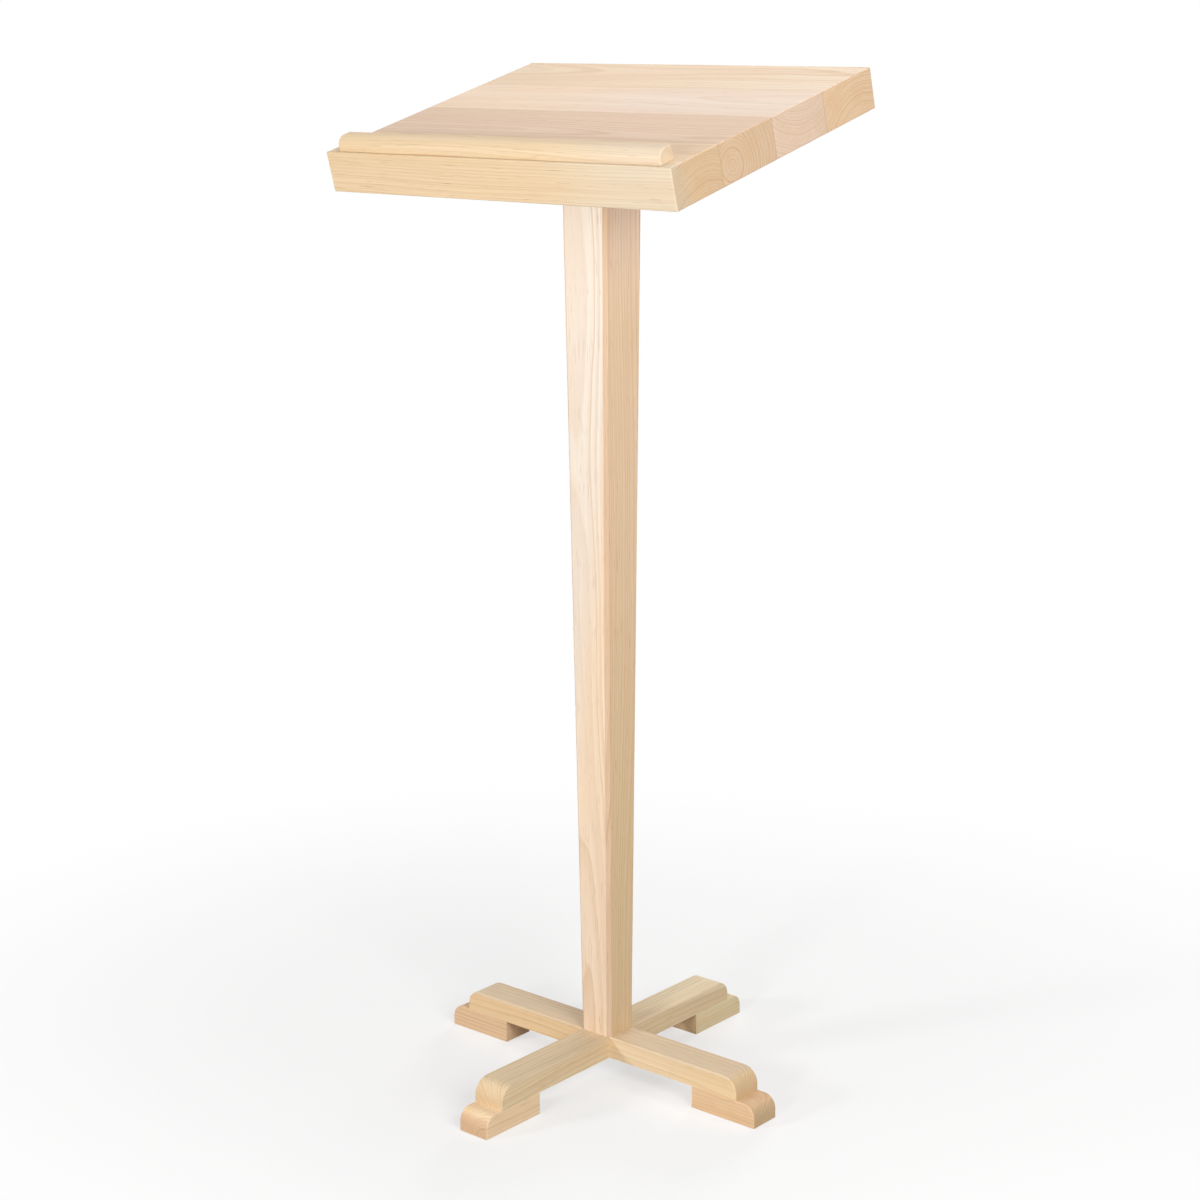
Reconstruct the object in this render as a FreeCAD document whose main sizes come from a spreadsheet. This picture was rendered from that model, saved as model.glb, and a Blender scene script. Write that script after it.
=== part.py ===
import FreeCAD, Part
import os
import re
import Sketcher
from FreeCAD import Placement, Rotation, Vector

# Driving dimensions in millimetres, the tilt in degrees
DIMENSIONS = (
    ("desk_width", 500),
    ("desk_depth", 362),
    ("desk_thickness", 46.5),
    ("desk_tilt", 14.6),
    ("front_board_width", 80),
    ("edge_dowel_radius", 5),
    ("edge_dowel_length", 50),
    ("edge_dowel_inset", 60),
    ("ledge_height", 16),
    ("ledge_depth", 22),
    ("ledge_inset", 16.5),
    ("ledge_setback", 5.5),
    ("ledge_round", 11),
    ("ledge_dowel_radius", 4),
    ("ledge_dowel_inset", 40),
    ("ledge_dowel_reach", 20),
    ("ledge_dowel_cover", 6),
    ("post_length", 1057),
    ("post_top_side", 67),
    ("post_foot_side", 45.5),
    ("post_chamfer", 4),
    ("cheek_width", 60),
    ("cleat_width", 28),
    ("cleat_height", 30),
    ("cleat_length", 180),
    ("cleat_screw_near", 38),
    ("cleat_screw_far", 72),
    ("cleat_screw_bite", 30),
    ("screw_radius", 2.25),
    ("screw_head_radius", 4.25),
    ("head_bolt_radius", 3),
    ("head_bolt_flats", 10),
    ("head_bolt_pitch", 30),
    ("head_washer_radius", 9),
    ("head_nut_height", 5),
    ("washer_thickness", 1.6),
    ("bolt_head_height", 4),
    ("bolt_clearance", 0.2),
    ("beam_length", 428),
    ("beam_width", 42.5),
    ("beam_thickness", 27),
    ("nose_radius", 19.5),
    ("foot_length", 92),
    ("foot_height", 27),
    ("foot_projection", 26.5),
    ("toe_radius", 16),
    ("foot_screw_first", 16),
    ("foot_screw_pitch", 30),
    ("foot_screw_recess", 3),
    ("foot_screw_cover", 6),
    ("base_bolt_radius", 4),
    ("base_bolt_flats", 13),
    ("base_washer_radius", 12),
    ("insert_radius", 6),
    ("insert_length", 25),
    ("base_dowel_radius", 4),
    ("base_dowel_offset", 11),
    ("base_dowel_reach", 25),
    ("base_dowel_cover", 4),
    ("edge_ease", 1.5),
    ("dowel_chamfer", 0.8),
)
NAMES = {name for name, value in DIMENSIONS}

# Lengths that follow from the driving dimensions
BOARD_COUNT = 4
DOWELS_PER_SEAM = 4
LEDGE_DOWEL_COUNT = 4
REAR_BOARD_WIDTH = f"((desk_depth - front_board_width) / {BOARD_COUNT - 1})"
LEDGE_CENTRE = "(ledge_setback + ledge_depth / 2)"
BEAM_TOP = "(foot_height + beam_thickness)"
DESK_Z = f"({BEAM_TOP} + post_length)"
SIN_TILT = "sin(desk_tilt * 1 deg)"
COS_TILT = "cos(desk_tilt * 1 deg)"
TAN_TILT = "tan(desk_tilt * 1 deg)"
SCREW_HEAD_HEIGHT = "(screw_head_radius - screw_radius)"
CLEAT_CENTRE = "((cheek_width + cleat_width) / 2)"
FOOT_INNER = "(beam_length / 2 + foot_projection - foot_length)"

doc = FreeCAD.newDocument("lectern")
sheet = doc.addObject("Spreadsheet::Sheet", "Dims")
for row, (name, value) in enumerate(DIMENSIONS, 1):
    sheet.set(f"A{row}", str(value))
    sheet.setAlias(f"A{row}", name)
doc.recompute()


def expression(text):
    """Point every dimension named in the text at its cell."""
    return re.sub(r"[a-z_]+", lambda word: f"Dims.{word[0]}" if word[0] in NAMES else word[0], text)


def bind(target, path, text):
    target.setExpression(path, expression(text))


def size(text):
    """The present value of an expression."""
    result = sheet.evalExpression(expression(text))
    return float(getattr(result, "Value", result))


# Sketches and features of a body

def new_body(label):
    body = doc.addObject("PartDesign::Body", label)
    body.Label = label
    return body


def origin_plane(body, role):
    return next(feature for feature in body.Origin.OriginFeatures if feature.Role == role)


def new_sketch(body, role, lift="0"):
    """A sketch on one of the body's own planes, lifted along the plane's normal."""
    sketch = body.newObject("Sketcher::SketchObject", body.Name + "_sketch")
    sketch.AttachmentSupport = [(origin_plane(body, role), "")]
    sketch.MapMode = "FlatFace"
    bind(sketch, "AttachmentOffset.Base.z", lift)
    return sketch


def fix_point(sketch, geometry, point, x, y):
    for kind, text in (("DistanceX", x), ("DistanceY", y)):
        index = sketch.addConstraint(Sketcher.Constraint(kind, geometry, point, size(text)))
        bind(sketch, f"Constraints[{index}]", text)


def draw_polygon(sketch, points):
    first = sketch.GeometryCount
    count = len(points)
    corners = [Vector(size(x), size(y), 0) for x, y in points]
    for index in range(count):
        sketch.addGeometry(Part.LineSegment(corners[index], corners[(index + 1) % count]))
    for index in range(count):
        following = first + (index + 1) % count
        sketch.addConstraint(Sketcher.Constraint("Coincident", first + index, 2, following, 1))
    for index, (x, y) in enumerate(points):
        fix_point(sketch, first + index, 1, x, y)


def draw_circle(sketch, x, y, radius):
    circle = Part.Circle(Vector(size(x), size(y), 0), Vector(0, 0, 1), size(radius))
    geometry = sketch.addGeometry(circle)
    index = sketch.addConstraint(Sketcher.Constraint("Radius", geometry, size(radius)))
    bind(sketch, f"Constraints[{index}]", radius)
    fix_point(sketch, geometry, 3, x, y)


def pad(body, sketch, length, symmetric=False, downward=False):
    feature = body.newObject("PartDesign::Pad", body.Name + "_pad")
    feature.Profile = sketch
    feature.SideType = "Symmetric" if symmetric else "One side"
    feature.Reversed = downward
    bind(feature, "Length", length)
    doc.recompute()
    return feature


def pocket(body, sketch, depth=None, along_normal=False):
    """Cut to a depth on one side of the sketch, or right through on both sides."""
    before = body.Shape.Volume
    feature = body.newObject("PartDesign::Pocket", body.Name + "_pocket")
    feature.Profile = sketch
    if depth is None:
        feature.Type = "ThroughAll"
        feature.SideType = "Symmetric"
    else:
        feature.Reversed = along_normal
        bind(feature, "Length", depth)
    doc.recompute()
    if feature.Shape.Volume > before - 0.01:
        raise ValueError(f"{feature.Name} removes nothing")
    return feature


def countersink(body, x, y, z):
    """A cone that narrows upward from the radius of a screw head to that of its shank."""
    feature = body.newObject("PartDesign::SubtractiveCone", body.Name + "_countersink")
    feature.AttachmentSupport = [(origin_plane(body, "XY_Plane"), "")]
    feature.MapMode = "FlatFace"
    bind(feature, "Radius1", "screw_head_radius")
    bind(feature, "Radius2", "screw_radius")
    bind(feature, "Height", SCREW_HEAD_HEIGHT)
    bind(feature, "AttachmentOffset.Base.x", x)
    bind(feature, "AttachmentOffset.Base.y", y)
    bind(feature, "AttachmentOffset.Base.z", z)
    doc.recompute()


def dress(body, kind, value, chosen):
    """Round or chamfer the edges of the tip that pass the test."""
    base = body.Tip
    names = [f"Edge{index}" for index, edge in enumerate(base.Shape.Edges, 1) if chosen(edge)]
    feature = body.newObject(f"PartDesign::{kind}", f"{body.Name}_{kind.lower()}")
    feature.Base = (base, names)
    bind(feature, "Radius" if kind == "Fillet" else "Size", value)
    doc.recompute()


def close(first, second):
    return abs(first - second) < 0.01


def runs_along(edge, axis):
    """True for a straight edge along the X, Y or Z axis of its body."""
    ends = [vertex.Point for vertex in edge.Vertexes]
    if len(ends) != 2 or edge.Curve.TypeId != "Part::GeomLine":
        return False
    return close(abs((ends[1] - ends[0])["xyz".index(axis)]), edge.Length)


def box(label, length, width, height):
    """A block with one corner on the origin of its body."""
    body = new_body(label)
    sketch = new_sketch(body, "XY_Plane")
    draw_polygon(sketch, [("0", "0"), (length, "0"), (length, width), ("0", width)])
    pad(body, sketch, height)
    return body


# Placement in the frame of the lectern: X to the right, Y to the rear, Z up from the floor

def place(target, x, y, z, axis=Vector(0, 0, 1), angle="0"):
    target.Placement = Placement(Vector(), Rotation(axis, 90))
    bind(target, "Placement.Base.x", x)
    bind(target, "Placement.Base.y", y)
    bind(target, "Placement.Base.z", z)
    bind(target, "Placement.Rotation.Angle", f"({angle}) * 1 deg")


def desk_y(depth, height):
    return f"(({depth}) - desk_depth / 2) * {COS_TILT} - ({height}) * {SIN_TILT}"


def desk_z(depth, height):
    return f"{DESK_Z} + (({depth}) - desk_depth / 2) * {SIN_TILT} + ({height}) * {COS_TILT}"


def place_on_desk(target, across, depth, height, turn="0"):
    """Place from the left end, front edge and underside of the tilted slab."""
    x = f"({across}) - desk_width / 2"
    angle = f"desk_tilt + ({turn})"
    place(target, x, desk_y(depth, height), desk_z(depth, height), Vector(1, 0, 0), angle)


def group(label, master, places):
    """Copies of one fastener as separate solids under one label."""
    copies = []
    for setter, values in places:
        copy = doc.addObject("App::Link", f"{label}_copy")
        copy.LinkedObject = master
        setter(copy, *values)
        copies.append(copy)
    compound = doc.addObject("Part::Compound", label)
    compound.Label = label
    compound.Links = copies
    doc.recompute()
    return compound


# Fasteners, each with its axis along Z

def dowel(label, radius, length):
    body = new_body(label)
    sketch = new_sketch(body, "XY_Plane")
    draw_circle(sketch, "0", "0", radius)
    pad(body, sketch, length)
    dress(body, "Chamfer", "dowel_chamfer", lambda edge: len(edge.Vertexes) == 1)
    return body


def screw(label, length):
    """A countersunk screw with its head flush with the XY plane and a cross recess."""
    body = new_body(label)
    profile = new_sketch(body, "XZ_Plane")
    draw_polygon(profile, [
        ("0", "0"),
        ("screw_head_radius", "0"),
        ("screw_radius", SCREW_HEAD_HEIGHT),
        ("screw_radius", f"{length} - 2 * screw_radius"),
        ("0", length),
    ])
    turned = body.newObject("PartDesign::Revolution", label + "_turned")
    turned.Profile = profile
    turned.ReferenceAxis = (profile, ["V_Axis"])
    turned.Angle = 360
    doc.recompute()
    recess = new_sketch(body, "XY_Plane")
    arm = "screw_head_radius * 0.6"
    half = "screw_head_radius * 0.15"
    draw_polygon(recess, [
        (arm, f"-{half}"), (arm, half), (half, half), (half, arm),
        (f"-{half}", arm), (f"-{half}", half), (f"-{arm}", half), (f"-{arm}", f"-{half}"),
        (f"-{half}", f"-{half}"), (f"-{half}", f"-{arm}"), (half, f"-{arm}"), (half, f"-{half}"),
    ])
    pocket(body, recess, f"0.8 * {SCREW_HEAD_HEIGHT}", along_normal=True)
    return body


def hexagon(flats):
    reach = f"{flats} / 2 / cos(30 deg)"
    return [(f"{reach} * cos({60 * k} deg)", f"{reach} * sin({60 * k} deg)") for k in range(6)]


def bolt(label, radius, flats, length):
    """A hexagon bolt whose head bears on the XY plane from below."""
    body = new_body(label)
    shank = new_sketch(body, "XY_Plane")
    draw_circle(shank, "0", "0", radius)
    pad(body, shank, length)
    dress(body, "Chamfer", "dowel_chamfer", lambda edge: close(edge.CenterOfMass.z, size(length)))
    head = new_sketch(body, "XY_Plane")
    draw_polygon(head, hexagon(flats))
    pad(body, head, "bolt_head_height", downward=True)
    return body


def nut(label, radius, flats, height):
    body = new_body(label)
    sketch = new_sketch(body, "XY_Plane")
    draw_polygon(sketch, hexagon(flats))
    draw_circle(sketch, "0", "0", radius)
    pad(body, sketch, height)
    return body


def ring(label, outer, inner, height):
    body = new_body(label)
    sketch = new_sketch(body, "XY_Plane")
    draw_circle(sketch, "0", "0", outer)
    draw_circle(sketch, "0", "0", inner)
    pad(body, sketch, height)
    return body


# The sloping desk

def board_start(index):
    return "0" if index == 0 else f"(front_board_width + {index - 1} * {REAR_BOARD_WIDTH})"


def board_width(index):
    return "front_board_width" if index == 0 else REAR_BOARD_WIDTH


def edge_dowel_places():
    """Distances from the left end of the slab to the dowels of one seam."""
    step = f"(desk_width - 2 * edge_dowel_inset) / {DOWELS_PER_SEAM - 1}"
    return [f"edge_dowel_inset + {k} * {step}" for k in range(DOWELS_PER_SEAM)]


def ledge_dowel_places():
    first = "(ledge_inset + ledge_dowel_inset)"
    step = f"(desk_width - 2 * {first}) / {LEDGE_DOWEL_COUNT - 1}"
    return [f"{first} + {k} * {step}" for k in range(LEDGE_DOWEL_COUNT)]


def cleat_screw_places():
    """Places of the cleat screws from the left end and the front edge of the slab."""
    reaches = ("-cleat_screw_far", "-cleat_screw_near", "cleat_screw_near", "cleat_screw_far")
    lines = (f"desk_width / 2 - {CLEAT_CENTRE}", f"desk_width / 2 + {CLEAT_CENTRE}")
    return [(line, f"desk_depth / 2 + {reach}") for line in lines for reach in reaches]


def ease_board(body, index):
    """Ease the edges of a board that lie on the outside of the slab."""
    front = 0 if index == 0 else None
    rear = size(board_width(index)) if index == BOARD_COUNT - 1 else None

    def outside(edge):
        centre = edge.CenterOfMass
        level = close(centre.z, 0) or close(centre.z, size("desk_thickness"))
        if runs_along(edge, "y"):
            return level
        return any(face is not None and close(centre.y, face) for face in (front, rear))

    dress(body, "Fillet", "edge_ease", outside)


def drill_seam(body, index, rear):
    """Dowel holes in the front or rear edge of a board."""
    lift = f"-{board_width(index)}" if rear else "0"
    sketch = new_sketch(body, "XZ_Plane", lift)
    for across in edge_dowel_places():
        draw_circle(sketch, across, "desk_thickness / 2", "edge_dowel_radius")
    pocket(body, sketch, "edge_dowel_length / 2", along_normal=rear)


def drill_cleat_screws(body, index):
    """Blind holes for the cleat screws that meet this board."""
    start = size(board_start(index))
    margin = size("screw_radius")
    met = []
    for across, depth in cleat_screw_places():
        local = size(depth) - start
        if -margin < local < size(board_width(index)) + margin:
            met.append((across, f"{depth} - {board_start(index)}"))
    if not met:
        return
    sketch = new_sketch(body, "XY_Plane")
    for across, depth in met:
        draw_circle(sketch, across, depth, "screw_radius")
    pocket(body, sketch, "cleat_screw_bite", along_normal=True)


def drill_ledge_dowels(body):
    sketch = new_sketch(body, "XY_Plane", "desk_thickness")
    for across in ledge_dowel_places():
        draw_circle(sketch, across, LEDGE_CENTRE, "ledge_dowel_radius")
    pocket(body, sketch, "ledge_dowel_reach")


def make_board(index):
    body = box(f"desk_board_{index + 1}", "desk_width", board_width(index), "desk_thickness")
    ease_board(body, index)
    if index > 0:
        drill_seam(body, index, rear=False)
    if index < BOARD_COUNT - 1:
        drill_seam(body, index, rear=True)
    drill_cleat_screws(body, index)
    if index == 0:
        drill_ledge_dowels(body)
    place_on_desk(body, "0", board_start(index), "0")
    return body


def make_edge_dowels():
    master = dowel("edge_dowel", "edge_dowel_radius", "edge_dowel_length")
    places = []
    for index in range(1, BOARD_COUNT):
        start = f"{board_start(index)} - edge_dowel_length / 2"
        for across in edge_dowel_places():
            places.append((place_on_desk, (across, start, "desk_thickness / 2", "-90")))
    return group("edge_dowels", master, places)


def make_ledge():
    """The ledge, rounded along its front and eased on its other free edges."""
    length = "(desk_width - 2 * ledge_inset)"
    body = box("book_ledge", length, "ledge_depth", "ledge_height")
    top = size("ledge_height")

    def front_top(edge):
        return runs_along(edge, "x") and close(edge.CenterOfMass.y, 0) and close(edge.CenterOfMass.z, top)

    def free_edge(edge):
        centre = edge.CenterOfMass
        at_end = close(centre.x, 0) or close(centre.x, size(length))
        if close(centre.z, 0):
            return False
        return at_end or (runs_along(edge, "x") and close(centre.y, size("ledge_depth")))

    dress(body, "Fillet", "ledge_round", front_top)
    dress(body, "Fillet", "edge_ease", free_edge)
    sketch = new_sketch(body, "XY_Plane")
    for across in ledge_dowel_places():
        draw_circle(sketch, f"{across} - ledge_inset", "ledge_depth / 2", "ledge_dowel_radius")
    pocket(body, sketch, "ledge_height - ledge_dowel_cover", along_normal=True)
    place_on_desk(body, "ledge_inset", "ledge_setback", "desk_thickness")
    return body


def make_ledge_dowels():
    length = "(ledge_dowel_reach + ledge_height - ledge_dowel_cover)"
    master = dowel("ledge_dowel", "ledge_dowel_radius", length)
    foot = "desk_thickness - ledge_dowel_reach"
    places = [(place_on_desk, (across, LEDGE_CENTRE, foot)) for across in ledge_dowel_places()]
    return group("ledge_dowels", master, places)


# The post and the cleats that clasp its head

def head_bolt_places():
    """Distances of the head bolts from the front edge of the slab."""
    return [f"desk_depth / 2 + {sign} * head_bolt_pitch / 2" for sign in (-1, 1)]


def make_cleat(label, side):
    body = box(label, "cleat_width", "cleat_length", "cleat_height")

    def lower(edge):
        centre = edge.CenterOfMass
        inner = 0 if side > 0 else size("cleat_width")
        return close(centre.z, 0) and not (runs_along(edge, "y") and close(centre.x, inner))

    dress(body, "Fillet", "edge_ease", lower)
    start = "(desk_depth - cleat_length) / 2"
    screws = new_sketch(body, "XY_Plane")
    depths = sorted({depth for across, depth in cleat_screw_places()})
    for depth in depths:
        draw_circle(screws, "cleat_width / 2", f"{depth} - {start}", "screw_radius")
    pocket(body, screws)
    for depth in depths:
        countersink(body, "cleat_width / 2", f"{depth} - {start}", "0")
    bolts = new_sketch(body, "YZ_Plane")
    for depth in head_bolt_places():
        draw_circle(bolts, f"{depth} - {start}", "cleat_height / 2", "head_bolt_radius + bolt_clearance")
    pocket(body, bolts)
    left_face = f"desk_width / 2 + {side} * {CLEAT_CENTRE} - cleat_width / 2"
    place_on_desk(body, left_face, start, "-cleat_height")
    return body


def make_cleat_screws():
    master = screw("cleat_screw", "(cleat_height + cleat_screw_bite)")
    places = [(place_on_desk, (across, depth, "-cleat_height")) for across, depth in cleat_screw_places()]
    return group("cleat_screws", master, places)


def along_x(target, x, depth):
    """Place a head fastener with its axis to the right, half way up the cleats."""
    level = "-cleat_height / 2"
    place(target, x, desk_y(depth, level), desk_z(depth, level), Vector(0, 1, 0), "90")


def make_head_bolts():
    length = "(2 * washer_thickness + 2 * cleat_width + cheek_width + head_nut_height + 2)"
    master = bolt("head_bolt", "head_bolt_radius", "head_bolt_flats", length)
    left = "-cheek_width / 2 - cleat_width - washer_thickness"
    return group("head_bolts", master, [(along_x, (left, depth)) for depth in head_bolt_places()])


def make_head_washers():
    hole = "head_bolt_radius + bolt_clearance"
    master = ring("head_washer", "head_washer_radius", hole, "washer_thickness")
    left = "-cheek_width / 2 - cleat_width - washer_thickness"
    right = "cheek_width / 2 + cleat_width"
    places = [(along_x, (x, depth)) for depth in head_bolt_places() for x in (left, right)]
    return group("head_washers", master, places)


def make_head_nuts():
    master = nut("head_nut", "head_bolt_radius", "head_bolt_flats", "head_nut_height")
    right = "cheek_width / 2 + cleat_width + washer_thickness"
    return group("head_nuts", master, [(along_x, (right, depth)) for depth in head_bolt_places()])


def above_slope(drop):
    """Outline of everything above the underside of the slab, or above a plane dropped from it."""
    reach = "post_top_side"
    top = "post_length + 3 * post_top_side"
    edge = f"post_length - ({drop}) / {COS_TILT}"
    return [
        (f"-{reach}", f"{edge} - {reach} * {TAN_TILT}"),
        (reach, f"{edge} + {reach} * {TAN_TILT}"),
        (reach, top),
        (f"-{reach}", top),
    ]


def taper_post(body):
    """A square taper that runs on past the slope it is cut to."""
    height = "(post_length + post_top_side)"
    foot = "post_foot_side / 2"
    top = f"(post_foot_side + (post_top_side - post_foot_side) * {height} / post_length) / 2"
    feature = body.newObject("PartDesign::AdditiveWedge", "post_taper")
    feature.AttachmentSupport = [(origin_plane(body, "XY_Plane"), "")]
    feature.MapMode = "FlatFace"
    feature.AttachmentOffset = Placement(Vector(), Rotation(Vector(1, 0, 0), 90))
    for axis in "XZ":
        bind(feature, f"{axis}min", f"-{foot}")
        bind(feature, f"{axis}max", foot)
        bind(feature, f"{axis}2min", f"-{top}")
        bind(feature, f"{axis}2max", top)
    bind(feature, "Ymin", "0")
    bind(feature, "Ymax", height)
    doc.recompute()


def cut_cheek(body, side):
    """Pare one side of the head flat, down to a shoulder that carries a cleat."""
    sketch = new_sketch(body, "YZ_Plane", f"{side} * cheek_width / 2")
    draw_polygon(sketch, above_slope("cleat_height"))
    pocket(body, sketch, "post_top_side", along_normal=side > 0)


def make_post():
    body = new_body("post")
    taper_post(body)
    dress(body, "Chamfer", "post_chamfer", lambda edge: edge.BoundBox.ZLength > size("post_length"))
    slope = new_sketch(body, "YZ_Plane")
    draw_polygon(slope, above_slope("0"))
    pocket(body, slope)
    cut_cheek(body, -1)
    cut_cheek(body, 1)
    bolts = new_sketch(body, "YZ_Plane")
    level = "-cleat_height / 2"
    for depth in head_bolt_places():
        z = f"{desk_z(depth, level)} - {BEAM_TOP}"
        draw_circle(bolts, desk_y(depth, level), z, "head_bolt_radius + bolt_clearance")
    pocket(body, bolts)
    insert = new_sketch(body, "XY_Plane")
    draw_circle(insert, "0", "0", "insert_radius")
    pocket(body, insert, "insert_length", along_normal=True)
    dowels = new_sketch(body, "XY_Plane")
    for sign in (-1, 1):
        offset = f"{sign} * base_dowel_offset"
        draw_circle(dowels, offset, offset, "base_dowel_radius")
    pocket(body, dowels, "base_dowel_reach", along_normal=True)
    place(body, "0", "0", BEAM_TOP)
    return body


# The cross base

def beam_blank(label):
    """A beam along X with rounded ends and eased edges, its underside on the XY plane."""
    body = new_body(label)
    sketch = new_sketch(body, "XZ_Plane")
    draw_polygon(sketch, [
        ("-beam_length / 2", "0"),
        ("beam_length / 2", "0"),
        ("beam_length / 2", "beam_thickness"),
        ("-beam_length / 2", "beam_thickness"),
    ])
    pad(body, sketch, "beam_width", symmetric=True)
    top = size("beam_thickness")

    def nose_edge(edge):
        return runs_along(edge, "y") and close(edge.CenterOfMass.z, top)

    def side_edge(edge):
        return not runs_along(edge, "y") and edge.CenterOfMass.z > 0.01

    dress(body, "Fillet", "nose_radius", nose_edge)
    dress(body, "Fillet", "edge_ease", side_edge)
    return body


def lap_beam(body, upper):
    """Cut the half lap, in the underside of the upper beam or the top of the lower one."""
    low = "0" if upper else "beam_thickness / 2"
    high = "beam_thickness / 2" if upper else "beam_thickness"
    half = "beam_width / 2"
    sketch = new_sketch(body, "XZ_Plane")
    draw_polygon(sketch, [(f"-{half}", low), (half, low), (half, high), (f"-{half}", high)])
    pocket(body, sketch)


def drill_beam(body, upper):
    """Holes for the base bolt, the base dowels and the screws of the feet."""
    bolt_hole = new_sketch(body, "XY_Plane")
    draw_circle(bolt_hole, "0", "0", "base_bolt_radius + bolt_clearance")
    pocket(body, bolt_hole)
    dowels = new_sketch(body, "XY_Plane", "base_dowel_cover")
    for sign in (-1, 1):
        x = f"{sign} * base_dowel_offset"
        y = x if upper else f"{-sign} * base_dowel_offset"
        draw_circle(dowels, x, y, "base_dowel_radius")
    pocket(body, dowels, "beam_thickness", along_normal=True)
    screws = new_sketch(body, "XY_Plane")
    for sign in (-1, 1):
        for k in range(2):
            x = f"{sign} * ({FOOT_INNER} + foot_screw_first + {k} * foot_screw_pitch)"
            draw_circle(screws, x, "0", "screw_radius")
    pocket(body, screws, "beam_thickness - foot_screw_cover", along_normal=True)


def make_beam(label, upper):
    body = beam_blank(label)
    lap_beam(body, upper)
    drill_beam(body, upper)
    place(body, "0", "0", "foot_height", angle="0" if upper else "90")
    return body


def turned_about_post(x, y, quarter):
    """A point on the floor after quarter turns about the post."""
    turns = ((x, y), (f"-({y})", x), (f"-({x})", f"-({y})"), (y, f"-({x})"))
    return turns[quarter]


def make_foot(label, quarter):
    body = box(label, "foot_length", "beam_width", "foot_height")
    toe = size("foot_length")

    def toe_top(edge):
        centre = edge.CenterOfMass
        return runs_along(edge, "y") and close(centre.x, toe) and close(centre.z, size("foot_height"))

    def toe_edge(edge):
        return edge.CenterOfMass.x > toe - size("toe_radius") and not runs_along(edge, "y")

    dress(body, "Fillet", "toe_radius", toe_top)
    dress(body, "Fillet", "edge_ease", toe_edge)
    places = [f"foot_screw_first + {k} * foot_screw_pitch" for k in range(2)]
    shanks = new_sketch(body, "XY_Plane")
    heads = new_sketch(body, "XY_Plane")
    for along in places:
        draw_circle(shanks, along, "beam_width / 2", "screw_radius")
        draw_circle(heads, along, "beam_width / 2", "screw_head_radius")
    pocket(body, shanks)
    pocket(body, heads, "foot_screw_recess", along_normal=True)
    for along in places:
        countersink(body, along, "beam_width / 2", "foot_screw_recess")
    x, y = turned_about_post(FOOT_INNER, "-beam_width / 2", quarter)
    place(body, x, y, "0", angle=str(90 * quarter))
    return body


def make_foot_screws():
    length = f"({BEAM_TOP} - foot_screw_recess - foot_screw_cover)"
    master = screw("foot_screw", length)
    places = []
    for quarter in range(4):
        for k in range(2):
            along = f"{FOOT_INNER} + foot_screw_first + {k} * foot_screw_pitch"
            x, y = turned_about_post(along, "0", quarter)
            places.append((place, (x, y, "foot_screw_recess")))
    return group("foot_screws", master, places)


def make_base_bolt():
    length = "(washer_thickness + beam_thickness + insert_length)"
    body = bolt("base_bolt", "base_bolt_radius", "base_bolt_flats", length)
    place(body, "0", "0", "foot_height - washer_thickness")
    return body


def make_base_washer():
    hole = "base_bolt_radius + bolt_clearance"
    body = ring("base_washer", "base_washer_radius", hole, "washer_thickness")
    place(body, "0", "0", "foot_height - washer_thickness")
    return body


def make_base_insert():
    body = ring("base_insert", "insert_radius", "base_bolt_radius", "insert_length")
    place(body, "0", "0", BEAM_TOP)
    return body


def make_base_dowels():
    length = "(beam_thickness - base_dowel_cover + base_dowel_reach)"
    master = dowel("base_dowel", "base_dowel_radius", length)
    places = []
    for sign in (-1, 1):
        offset = f"{sign} * base_dowel_offset"
        places.append((place, (offset, offset, "foot_height + base_dowel_cover")))
    return group("base_dowels", master, places)


nodes = [make_board(index) for index in range(BOARD_COUNT)]
nodes += [
    make_edge_dowels(),
    make_ledge(),
    make_ledge_dowels(),
    make_cleat("cleat_left", -1),
    make_cleat("cleat_right", 1),
    make_cleat_screws(),
    make_head_bolts(),
    make_head_washers(),
    make_head_nuts(),
    make_post(),
    make_beam("beam_left_right", upper=True),
    make_beam("beam_front_rear", upper=False),
    make_foot("foot_right", 0),
    make_foot("foot_rear", 1),
    make_foot("foot_left", 2),
    make_foot("foot_front", 3),
    make_foot_screws(),
    make_base_bolt(),
    make_base_washer(),
    make_base_insert(),
    make_base_dowels(),
]
doc.recompute()

for item in doc.Objects:
    if "Invalid" in item.State or "Error" in item.State:
        raise ValueError(f"{item.Label} did not compute")

os.makedirs("parts", exist_ok=True)
for node in nodes:
    if node.Shape.isNull() or not node.Shape.isValid():
        raise ValueError(f"{node.Label} has no valid shape")
    node.Shape.exportStep(f"parts/{node.Label}.step")
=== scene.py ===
import math
from typing import NamedTuple

import bpy
from mathutils import Matrix, Vector

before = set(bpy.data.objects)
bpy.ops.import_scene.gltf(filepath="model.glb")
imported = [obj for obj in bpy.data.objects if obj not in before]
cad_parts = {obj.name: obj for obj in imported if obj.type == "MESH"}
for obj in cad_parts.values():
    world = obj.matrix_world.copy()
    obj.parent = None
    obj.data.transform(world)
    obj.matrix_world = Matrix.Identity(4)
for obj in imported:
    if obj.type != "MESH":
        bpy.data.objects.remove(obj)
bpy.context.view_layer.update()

# The slope of the desk, its depth, and where its underside crosses the axis of the post, in metres
DESK_TILT = math.radians(14.6)
DESK_DEPTH = 0.362
DESK_HEIGHT = 1.111

# Glue lines between the boards, in metres up the slope, and how far from its middle one is full or gone
SEAMS = (0.080, 0.174, 0.268)
SEAM_CORE = 0.0002
SEAM_EDGE = 0.0005

# How much wider the post gets per metre of its height
POST_TAPER = 0.0203

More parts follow.
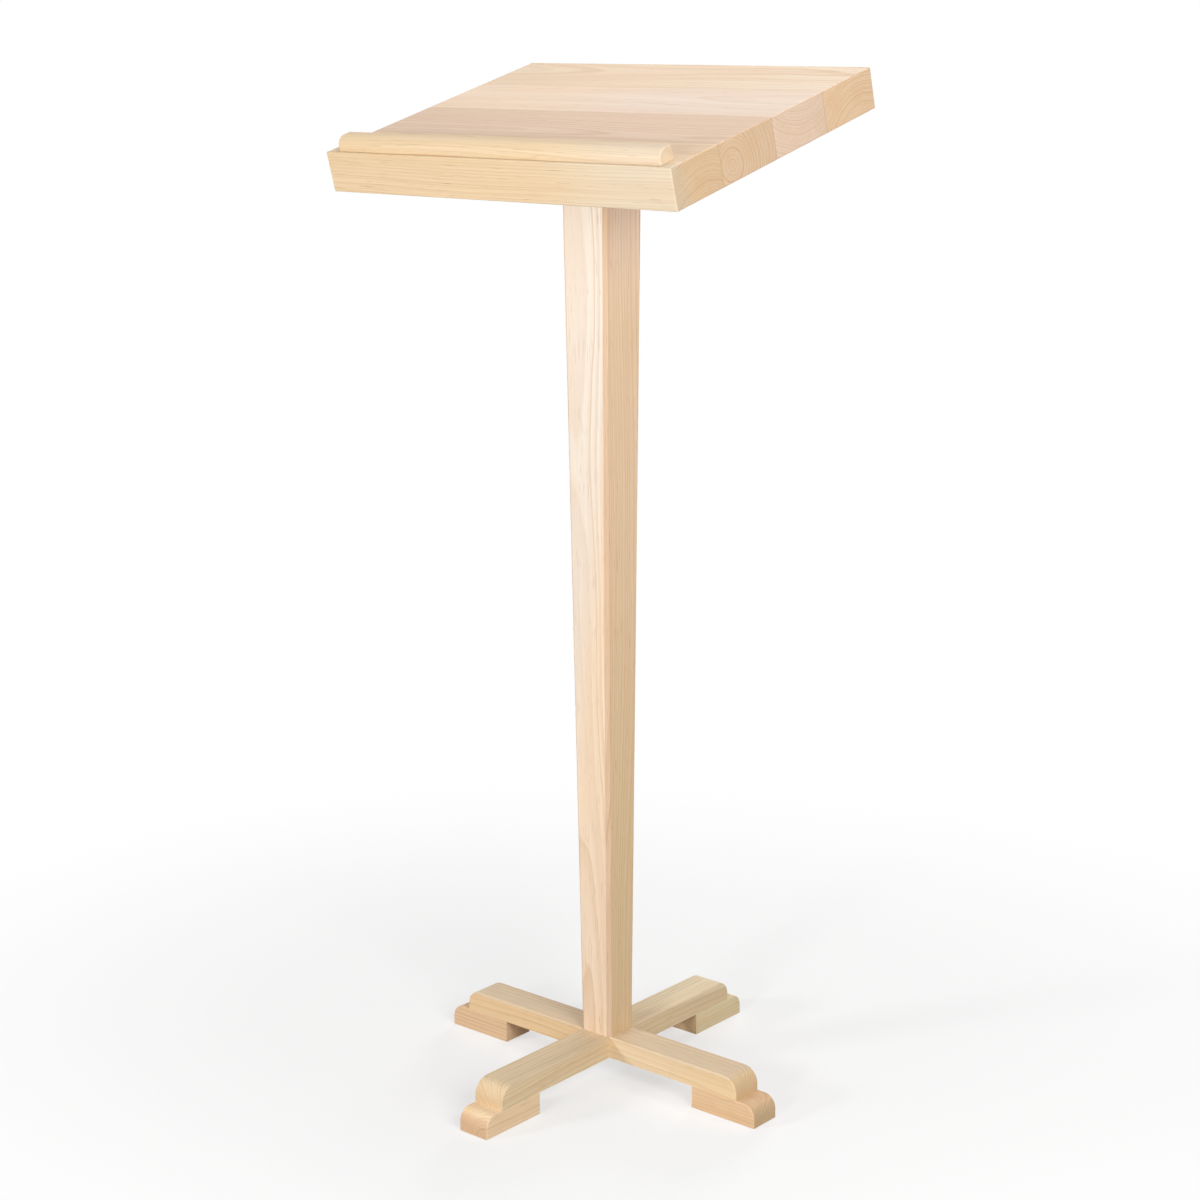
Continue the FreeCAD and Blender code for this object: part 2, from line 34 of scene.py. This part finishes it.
ALONG_X = Vector((1, 0, 0))
ALONG_Y = Vector((0, 1, 0))
ALONG_Z = Vector((0, 0, 1))
UP_SLOPE = Vector((0, math.cos(DESK_TILT), math.sin(DESK_TILT)))
OFF_SLOPE = Vector((0, -math.sin(DESK_TILT), math.cos(DESK_TILT)))
DESK_ORIGIN = Vector((0, 0, DESK_HEIGHT)) - UP_SLOPE * (DESK_DEPTH / 2)
DESK_FRONT = DESK_ORIGIN.dot(UP_SLOPE)

# Colours in pine, as linear light
SPRING_WOOD = (0.85, 0.645, 0.425, 1)
SUMMER_WOOD = (0.70, 0.46, 0.255, 1)
WARM_STREAK = (0.80, 0.55, 0.325, 1)
RESIN = (0.42, 0.235, 0.10, 1)
GLUE = (0.45, 0.29, 0.16, 1)

# Tints of pine: three shades of cut ends, and painted shade on the chamfers of the post
CUT_END = (0.94, 0.875, 0.83, 1)
PALE_END = (0.97, 0.95, 0.93, 1)
DARK_END = (0.775, 0.69, 0.655, 1)
CHAMFER_SHADE = (0.79, 0.755, 0.80, 1)

# Waves per metre of the patterns in pine, along the grain and twice across it
SWAY_WAVES = (1.7, 0.1, 0.1)
WARP_WAVES = (3.5, 24.0, 24.0)
STREAK_WAVES = (2.0, 48.0, 48.0)
FIBRE_WAVES = (9.0, 900.0, 900.0)
CANAL_WAVES = (38.0, 1200.0, 1200.0)

# How far the pith sways, the rings warp and the edges of zones wander, in metres
PITH_SWAY = 0.028
RING_WARP = 0.006
ZONE_WANDER = 0.016

# The pace of wide and narrow years, how many rings they shift, and how dark the palest year gets
WEATHER_PACE = 0.31
WEATHER_SHIFT = 2.4
PALEST_YEAR = 0.35

# How dark the wood gets through one year ring, as (share of the year, darkness)
SEASONS = ((0.0, 0.12), (0.12, 0.0), (0.45, 0.14), (0.80, 0.72), (0.93, 1.0), (1.0, 0.12))

# Sockets of Blender's mix node that belong to colours
MIX_SHARE = 0
MIX_FIRST = 6
MIX_SECOND = 7
MIX_RESULT = 2


class Zone(NamedTuple):
    """A part of a piece that has another tint.

    The wood changes along the direction, from where the change starts to where it is full, measured
    from the origin. A longer direction makes the change sharper.
    """
    direction: Vector
    start: float
    full: float
    tint: tuple


def on_desk(up_slope, off_underside):
    """A point of the desk: metres from the front edge up the slope, and above the underside."""
    return DESK_ORIGIN + UP_SLOPE * up_slope + OFF_SLOPE * off_underside


class Shader:
    """Builds the nodes of one material, so that a pattern reads as a short sum."""

    def __init__(self, name):
        self.material = bpy.data.materials.new(name)
        self.material.use_nodes = True
        self.tree = self.material.node_tree
        self.surface = self.tree.nodes["Principled BSDF"]

    def set(self, socket, value):
        """Gives a socket a number, a colour or another node's output."""
        if isinstance(value, bpy.types.NodeSocket):
            self.tree.links.new(value, socket)
        else:
            socket.default_value = value

    def complete(self, **inputs):
        """Sets sockets of the surface, with _ for a space in their names, and gives the material."""
        for socket, value in inputs.items():
            self.set(self.surface.inputs[socket.replace("_", " ")], value)
        return self.material

    def node(self, kind, inputs, **settings):
        made = self.tree.nodes.new(kind)
        for setting, value in settings.items():
            setattr(made, setting, value)
        for socket, value in inputs.items():
            self.set(made.inputs[socket], value)
        return made

    def math(self, operation, *terms):
        inputs = dict(enumerate(terms))
        return self.node("ShaderNodeMath", inputs, operation=operation).outputs[0]

    def vector(self, operation, *terms):
        inputs = dict(enumerate(terms))
        return self.node("ShaderNodeVectorMath", inputs, operation=operation).outputs["Vector"]

    def measure(self, operation, *terms):
        """A vector sum whose answer is a number: a dot product or a length."""
        inputs = dict(enumerate(terms))
        return self.node("ShaderNodeVectorMath", inputs, operation=operation).outputs["Value"]

    def noise(self, vector, waves, detail=2.0):
        """Smooth noise from 0 to 1, with about so many waves per metre along each axis."""
        scaled = self.vector("MULTIPLY", vector, waves)
        inputs = {"Vector": scaled, "Scale": 1.0, "Detail": detail}
        return self.node("ShaderNodeTexNoise", inputs)

    def rise(self, value, low, high, start=0.0, end=1.0):
        """A smooth step from start to end while the value goes from low to high."""
        inputs = {"Value": value, "From Min": low, "From Max": high, "To Min": start, "To Max": end}
        made = self.node("ShaderNodeMapRange", inputs, interpolation_type="SMOOTHSTEP")
        return made.outputs["Result"]

    def mix(self, share, first, second, blend="MIX"):
        made = self.node("ShaderNodeMix", {}, data_type="RGBA", blend_type=blend)
        self.set(made.inputs[MIX_SHARE], share)
        self.set(made.inputs[MIX_FIRST], first)
        self.set(made.inputs[MIX_SECOND], second)
        return made.outputs[MIX_RESULT]

    def curve(self, value, points):
        """A line through the points (position, height), as shades of grey."""
        made = self.node("ShaderNodeValToRGB", {"Fac": value})
        steps = made.color_ramp.elements
        while len(steps) < len(points):
            steps.new(0.5)
        for step, (position, height) in zip(steps, points):
            step.position = position
            step.color = (height, height, height, 1)
        return made.outputs["Color"]

    def bump(self, height, strength, distance):
        inputs = {"Height": height, "Strength": strength, "Distance": distance}
        return self.node("ShaderNodeBump", inputs).outputs["Normal"]

    def place(self):
        return self.node("ShaderNodeTexCoord", {}).outputs["Object"]

    def facing(self):
        return self.node("ShaderNodeNewGeometry", {}).outputs["Normal"]


def grain_axes(grain):
    """Two directions square to the grain and to each other."""
    upright = abs(grain.z) > 0.8
    helper = ALONG_X if upright else ALONG_Z
    across = helper.cross(grain).normalized()
    return across, grain.cross(across)


def lay_along(shader, point, grain, start):
    """The point measured from the start: along the grain, and twice across it."""
    offset = shader.vector("SUBTRACT", point, start)
    across, through = grain_axes(grain)
    axes = (grain, across, through)
    parts = [shader.measure("DOT_PRODUCT", offset, axis) for axis in axes]
    return shader.node("ShaderNodeCombineXYZ", dict(enumerate(parts))).outputs["Vector"]


def ring_radius(shader, local, seed):
    """Distance from the pith, which sways along the grain, in rings that are never quite round."""
    shifted = shader.vector("ADD", local, (seed, seed * 0.7, seed * 1.3))
    sway = shader.noise(shifted, SWAY_WAVES, detail=1.0).outputs["Color"]
    sway = shader.vector("SUBTRACT", sway, (0.5, 0.5, 0.5))
    sway = shader.vector("MULTIPLY", sway, (0.0, PITH_SWAY, PITH_SWAY))
    flat = shader.vector("MULTIPLY", shader.vector("ADD", local, sway), (0.0, 1.0, 1.0))
    warp = shader.noise(shifted, WARP_WAVES).outputs["Fac"]
    return shader.math("MULTIPLY_ADD", warp, RING_WARP, shader.measure("LENGTH", flat))


def year_rings(shader, radius, spacing, seed):
    """How dark the year ring is at a radius, with wide and narrow, pale and dark years."""
    years = shader.math("DIVIDE", radius, spacing)
    inputs = {"W": years, "Scale": WEATHER_PACE}
    weather = shader.node("ShaderNodeTexNoise", inputs, noise_dimensions="1D")
    years = shader.math("MULTIPLY_ADD", weather.outputs["Fac"], WEATHER_SHIFT, years)
    season = shader.curve(shader.math("FRACT", years), SEASONS)
    year = shader.math("FLOOR", shader.math("ADD", years, seed * 11.0))
    dryness = shader.node("ShaderNodeTexWhiteNoise", {"W": year}, noise_dimensions="1D")
    dryness = shader.math("MULTIPLY_ADD", dryness.outputs["Value"], 1 - PALEST_YEAR, PALEST_YEAR)
    return shader.math("MULTIPLY", season, dryness)


def resin_canals(shader, local):
    """Short dark lines along the grain."""
    canals = shader.noise(local, CANAL_WAVES, detail=0.0).outputs["Fac"]
    return shader.rise(canals, 0.70, 0.82, end=0.45)


def cut_ends(shader, grain):
    """1 where the surface cuts across the grain, and 0 where it runs along it."""
    end = shader.math("ABSOLUTE", shader.measure("DOT_PRODUCT", shader.facing(), grain))
    return shader.rise(end, 0.55, 0.92)


def zoned_tint(shader, point, streak, tint, zones):
    """The tint of a piece, with the zones in their order over it and edges that follow its streaks."""
    for zone in zones:
        depth = shader.measure("DOT_PRODUCT", point, zone.direction)
        depth = shader.math("MULTIPLY_ADD", streak, ZONE_WANDER, depth)
        tint = shader.mix(shader.rise(depth, zone.start, zone.full), tint, zone.tint)
    return tint


def glue_lines(shader, point, colour, seams):
    """The colour with a thin dark line at each seam."""
    for seam in seams:
        up_slope = shader.measure("DOT_PRODUCT", point, UP_SLOPE)
        gap = shader.math("ABSOLUTE", shader.math("SUBTRACT", up_slope, DESK_FRONT + seam))
        line = shader.rise(gap, SEAM_CORE, SEAM_EDGE, start=0.7, end=0.0)
        colour = shader.mix(line, colour, GLUE)
    return colour


def pine(name, grain, pith, spacing, tint, seed, cut=CUT_END, zones=(), seams=()):
    """Planed and lacquered pine: year rings round a pith line, fibres, resin canals and cut ends.

    Spacing is the width of a year ring, cut the tint of the ends, and seams are the glue lines that show.
    """
    shader = Shader(name)
    point = shader.place()
    local = lay_along(shader, point, grain, pith)
    rings = year_rings(shader, ring_radius(shader, local, seed), spacing, seed)
    streak = shader.noise(local, STREAK_WAVES, detail=3.0).outputs["Fac"]
    fibre = shader.noise(local, FIBRE_WAVES).outputs["Fac"]
    end = cut_ends(shader, grain)

    colour = shader.mix(rings, SPRING_WOOD, SUMMER_WOOD)
    colour = shader.mix(shader.rise(streak, 0.40, 0.72, end=0.55), colour, WARM_STREAK)
    shade = shader.curve(fibre, ((0.25, 0.90), (0.75, 1.0)))
    colour = shader.mix(1.0, colour, shade, "MULTIPLY")
    colour = shader.mix(resin_canals(shader, local), colour, RESIN)
    colour = shader.mix(1.0, colour, zoned_tint(shader, point, streak, tint, zones), "MULTIPLY")
    colour = shader.mix(end, colour, shader.mix(1.0, colour, cut, "MULTIPLY"))
    colour = glue_lines(shader, point, colour, seams)

    rough = shader.math("MULTIPLY_ADD", fibre, 0.12, 0.38)
    rough = shader.math("MULTIPLY_ADD", end, 0.16, rough)
    height = shader.math("MULTIPLY_ADD", fibre, 0.5, rings)
    relief = shader.bump(height, strength=0.12, distance=0.0004)
    return shader.complete(Base_Color=colour, Roughness=rough, Specular_IOR_Level=0.30, Normal=relief)


def beech(name, grain):
    """Turned beech: pinkish, with short dark flecks along the grain."""
    pink = (0.62, 0.38, 0.22, 1)
    pale = (0.70, 0.47, 0.30, 1)
    dark = (0.38, 0.20, 0.10, 1)
    shader = Shader(name)
    local = lay_along(shader, shader.place(), grain, Vector())
    fleck = shader.noise(local, (120.0, 900.0, 900.0)).outputs["Fac"]
    cloud = shader.noise(local, (12.0, 120.0, 120.0)).outputs["Fac"]
    colour = shader.mix(cloud, pink, pale)
    colour = shader.mix(shader.rise(fleck, 0.58, 0.74, end=0.6), colour, dark)
    rough = shader.math("MULTIPLY_ADD", fleck, 0.2, 0.5)
    relief = shader.bump(fleck, strength=0.15, distance=0.0003)
    return shader.complete(Base_Color=colour, Roughness=rough, Normal=relief)


def metal(name, light, dark):
    """Plated or turned metal with faint clouds and fine scratches."""
    shader = Shader(name)
    point = shader.place()
    cloud = shader.noise(point, (90.0, 90.0, 90.0), detail=4.0).outputs["Fac"]
    scratch = shader.noise(point, (400.0, 2600.0, 900.0)).outputs["Fac"]
    colour = shader.mix(shader.rise(cloud, 0.35, 0.70), light, dark)
    rough = shader.math("MULTIPLY_ADD", scratch, 0.22, 0.24)
    relief = shader.bump(scratch, strength=0.08, distance=0.0002)
    return shader.complete(Base_Color=colour, Metallic=1.0, Roughness=rough, Normal=relief)


def dress(node, material):
    """Puts one material on a node of the frame."""
    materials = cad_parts[node].data.materials
    materials.clear()
    materials.append(material)


def dress_in_pine(node, **wood):
    """Gives a node pine of its own."""
    dress(node, pine(node, **wood))


def dress_board(number, **wood):
    """One board of the desk, with the glue lines that it shares with its neighbours."""
    seams = SEAMS[max(number - 2, 0):number]
    dress_in_pine(f"desk_board_{number}", grain=ALONG_X, seed=0.4 + 2.7 * number, seams=seams, **wood)


def dress_desk():
    front_zones = (
        Zone(ALONG_X, 0.03, 0.21, (0.84, 0.93, 1.05, 1)),
        # Board 1's top behind the ledge takes a pinker tint, kept dark as a painted shadow of the ledge
        Zone(UP_SLOPE, DESK_FRONT + 0.010, DESK_FRONT + 0.040, (0.90, 0.89, 0.90, 1)),
    )
    pale_right = Zone(ALONG_X, -0.14, 0.08, (0.94, 1.01, 1.265, 1))
    pale_corner = Zone(ALONG_X, 0.03, 0.25, (0.955, 1.03, 1.20, 1))
    dress_board(
        1, pith=on_desk(0.046, -0.055), spacing=0.0034,
        tint=(0.865, 0.87, 0.835, 1), cut=(0.87, 0.84, 0.80, 1), zones=front_zones)
    dress_board(
        2, pith=on_desk(0.104, 0.020), spacing=0.0040,
        tint=(0.845, 0.826, 0.932, 1), cut=(0.965, 0.952, 0.868, 1))
    dress_board(
        3, pith=on_desk(0.235, 0.105), spacing=0.0036,
        tint=(0.984, 1.02, 1.178, 1), cut=(0.969, 0.915, 0.849, 1), zones=[pale_right])
    dress_board(
        4, pith=on_desk(0.335, -0.050), spacing=0.0031,
        tint=(0.925, 0.967, 1.085, 1), cut=(1.0, 0.89, 0.767, 1), zones=[pale_corner])


def dress_ledge():
    pale_right = Zone(ALONG_X, 0.05, 0.21, (0.87, 0.945, 1.07, 1))
    dress_in_pine(
        "book_ledge", grain=ALONG_X, pith=on_desk(-0.030, 0.020), spacing=0.0030, seed=21.7,
        tint=(0.885, 0.905, 0.88, 1), cut=PALE_END, zones=[pale_right])


def shaded_chamfers():
    """A zone of painted shade for each chamfer of the post, which leans with the taper."""
    sharpness = 10
    for across in (ALONG_X, -ALONG_X):
        for along in (ALONG_Y, -ALONG_Y):
            outward = across + along - ALONG_Z * POST_TAPER
            yield Zone(outward * sharpness, 0.404, 0.410, CHAMFER_SHADE)


def dress_post():
    front = -ALONG_Y
    zones = [
        # Painted light: the post paler from 0.25 m up, and paler again right under the desk, where its
        # shade falls
        Zone(ALONG_Z, 0.25, 0.75, (0.934, 0.92, 0.943, 1)),
        Zone(ALONG_Z, 0.90, 1.06, (0.957, 0.98, 1.14, 1)),
        # Painted sheen: the front face of the post whiter, most of all high up and towards the left
        Zone(front * 3 - ALONG_Z * 0.0305, 0.064, 0.072, (0.985, 1.02, 1.15, 1)),
        Zone(front * 9 - ALONG_X * 0.5 - ALONG_Z * 0.011, 0.2418, 0.2658, (0.935, 1.09, 1.42, 1)),
    ]
    dress_in_pine(
        "post", grain=ALONG_Z, pith=Vector((-0.020, 0.060, 0)), spacing=0.0042, seed=31.3,
        tint=(0.89, 0.873, 0.80, 1), zones=zones + list(shaded_chamfers()))


def dress_cleats():
    for side, across in (("left", -1), ("right", 1)):
        dress_in_pine(
            f"cleat_{side}", grain=UP_SLOPE, pith=on_desk(0, -0.070) + ALONG_X * (0.045 * across),
            spacing=0.0032, seed=41.9 + across, tint=(0.98, 0.96, 0.94, 1))


def dress_beams():
    right_zones = (
        Zone(ALONG_X, 0.004, 0.050, (1.0, 1.045, 1.045, 1)),
        Zone(ALONG_X, 0.09, 0.19, (1.0, 1.0, 0.94, 1)),
        # Painted shade: the top face of the beam darker, as under the desk
        Zone(ALONG_Z * 4, 0.204, 0.220, (0.925, 0.97, 1.03, 1)),
    )
    rear_zones = (
        # Painted shade: the top face of the rear beam darker, then painted light making it paler towards
        # its far end
        Zone(ALONG_Z * 4, 0.204, 0.220, (0.90, 0.95, 0.955, 1)),
        Zone(ALONG_Y * 0.15 + ALONG_Z * 2, 0.122, 0.137, (1.06, 1.18, 1.25, 1)),
    )
    dress_in_pine(
        "beam_left_right", grain=ALONG_X, pith=Vector((0, 0.047, 0.012)), spacing=0.0035, seed=51.1,
        tint=(0.955, 0.905, 0.80, 1), cut=(0.88, 0.86, 0.84, 1), zones=right_zones)
    dress_in_pine(
        "beam_front_rear", grain=ALONG_Y, pith=Vector((-0.041, 0, 0.001)), spacing=0.0035, seed=57.7,
        tint=(0.945, 0.985, 0.96, 1), cut=(0.92, 0.88, 0.86, 1), zones=rear_zones)


def dress_feet():
    """The foot blocks, each sawn from another place beside the pith."""
    feet = (
        ("right", ALONG_X, (0.93, 0.86, 0.80, 1), (0.82, 0.84, 0.83, 1)),
        # The rear foot's dark cut ends also paint shade on its face in the notch under the rear beam
        ("rear", ALONG_Y, (0.985, 1.08, 1.05, 1), DARK_END),
        ("left", ALONG_X, (0.90, 0.82, 0.77, 1), (0.93, 0.95, 0.97, 1)),
        ("front", ALONG_Y, (1.07, 1.08, 1.07, 1), DARK_END),
    )
    for number, (side, grain, tint, cut) in enumerate(feet):
        across, through = grain_axes(grain)
        pith = across * (0.030 - 0.017 * number) + through * (-0.028 + 0.008 * number)
        dress_in_pine(
            f"foot_{side}", grain=grain, pith=pith, spacing=0.0033, seed=61.3 + 3.9 * number,
            tint=tint, cut=cut)


def dress_fastenings():
    dress("edge_dowels", beech("beech_up_slope", UP_SLOPE))
    dress("ledge_dowels", beech("beech_off_slope", OFF_SLOPE))
    dress("base_dowels", beech("beech_upright", ALONG_Z))
    zinc = metal("zinc_steel", light=(0.50, 0.51, 0.53, 1), dark=(0.36, 0.375, 0.40, 1))
    steel_nodes = (
        "cleat_screws", "foot_screws", "head_bolts", "head_washers", "head_nuts",
        "base_bolt", "base_washer",
    )
    for node in steel_nodes:
        dress(node, zinc)
    dress("base_insert", metal("brass_insert", light=(0.83, 0.62, 0.29, 1), dark=(0.66, 0.46, 0.19, 1)))


def seen_directly(tree):
    """1 for what the camera sees straight, mirrored or through glass, and 0 for light on the object."""
    path = tree.nodes.new("ShaderNodeLightPath")
    total = path.outputs["Is Camera Ray"]
    for ray in ("Is Glossy Ray", "Is Transmission Ray"):
        both = tree.nodes.new("ShaderNodeMath")
        both.operation = "MAXIMUM"
        tree.links.new(total, both.inputs[0])
        tree.links.new(path.outputs[ray], both.inputs[1])
        total = both.outputs[0]
    return total


def add_world(ambient):
    """White behind the object, and an even grey light from all round on it."""
    world = bpy.data.worlds.new("studio")
    bpy.context.scene.world = world
    world.use_nodes = True
    tree = world.node_tree
    light = tree.nodes["Background"]
    light.inputs["Color"].default_value = (1, 1, 1, 1)
    light.inputs["Strength"].default_value = ambient
    white = tree.nodes.new("ShaderNodeBackground")
    white.inputs["Color"].default_value = (1, 1, 1, 1)
    white.inputs["Strength"].default_value = 1.0
    choice = tree.nodes.new("ShaderNodeMixShader")
    tree.links.new(seen_directly(tree), choice.inputs[0])
    tree.links.new(light.outputs[0], choice.inputs[1])
    tree.links.new(white.outputs[0], choice.inputs[2])
    tree.links.new(choice.outputs[0], tree.nodes["World Output"].inputs["Surface"])


def floor_material():
    """Pale matt floor that keeps the shadow near the object and fades to white further out."""
    fade_start = 0.35
    fade_end = 1.25
    shader = Shader("floor")
    away = shader.measure("LENGTH", shader.place())
    fade = shader.rise(away, fade_start, fade_end, start=0.55)
    shader.complete(Base_Color=(0.42, 0.41, 0.40, 1), Roughness=0.9)
    pale = shader.node("ShaderNodeBsdfDiffuse", {"Color": (0.92, 0.92, 0.92, 1)})
    white = shader.node("ShaderNodeEmission", {"Color": (1, 1, 1, 1), "Strength": 1.0})
    shown = shader.node("ShaderNodeMixShader", {0: fade, 1: pale.outputs[0], 2: white.outputs[0]})
    inputs = {0: seen_directly(shader.tree), 1: shader.surface.outputs[0], 2: shown.outputs[0]}
    choice = shader.node("ShaderNodeMixShader", inputs)
    output = shader.tree.nodes["Material Output"]
    shader.set(output.inputs["Surface"], choice.outputs[0])
    return shader.material


def add_floor():
    """A wide round floor, a hair below the feet."""
    corners = 96
    radius = 7.0
    level = -0.0004
    turns = [2 * math.pi * number / corners for number in range(corners)]
    points = [(radius * math.cos(turn), radius * math.sin(turn), level) for turn in turns]
    mesh = bpy.data.meshes.new("floor")
    mesh.from_pydata(points, [], [tuple(range(corners))])
    mesh.materials.append(floor_material())
    floor = bpy.data.objects.new("floor", mesh)
    bpy.context.scene.collection.objects.link(floor)


def add_lamp(name, place, size, power, gleams=True):
    """A round soft lamp that faces the upper post, with or without a gleam on the object."""
    aim = Vector((0, 0, 0.85)) - Vector(place)
    data = bpy.data.lights.new(name, "AREA")
    data.shape = "DISK"
    data.size = size
    data.energy = power
    lamp = bpy.data.objects.new(name, data)
    lamp.location = place
    lamp.rotation_euler = aim.to_track_quat("-Z", "Y").to_euler()
    lamp.visible_glossy = gleams
    bpy.context.scene.collection.objects.link(lamp)


def add_light():
    add_world(ambient=0.12)
    add_lamp("front", (0.5, -2.8, 1.10), size=0.5, power=27)
    add_lamp("left", (-1.3, -2.3, 1.10), size=0.5, power=29)
    add_lamp("right", (1.9, -0.9, 1.30), size=1.2, power=39.5, gleams=False)
    add_lamp("top", (0.0, 0.2, 2.30), size=1.0, power=11.7)
    add_lamp("back", (-0.9, 2.6, 0.55), size=1.1, power=52, gleams=False)


def add_camera():
    """The camera that took the photograph, found by fitting the CAD outline to it."""
    place = (1.8179, -2.1343, 1.2699)
    azimuth = math.radians(40.53)
    elevation = math.radians(13.60)
    roll = math.radians(-0.42)
    back = Vector((
        math.sin(azimuth) * math.cos(elevation),
        -math.cos(azimuth) * math.cos(elevation),
        math.sin(elevation),
    ))
    level = Vector((math.cos(azimuth), math.sin(azimuth), 0))
    upright = back.cross(level)
    right = level * math.cos(roll) + upright * math.sin(roll)
    up = upright * math.cos(roll) - level * math.sin(roll)
    turn = Matrix((right, up, back)).transposed().to_4x4()
    data = bpy.data.cameras.new("camera")
    data.sensor_width = 36.0
    data.lens = 73.80
    camera = bpy.data.objects.new("camera", data)
    camera.matrix_world = Matrix.Translation(place) @ turn
    bpy.context.scene.collection.objects.link(camera)
    bpy.context.scene.camera = camera


dress_desk()
dress_ledge()
dress_post()
dress_cleats()
dress_beams()
dress_feet()
dress_fastenings()
add_floor()
add_light()
add_camera()
bpy.context.scene.view_settings.view_transform = "Standard"
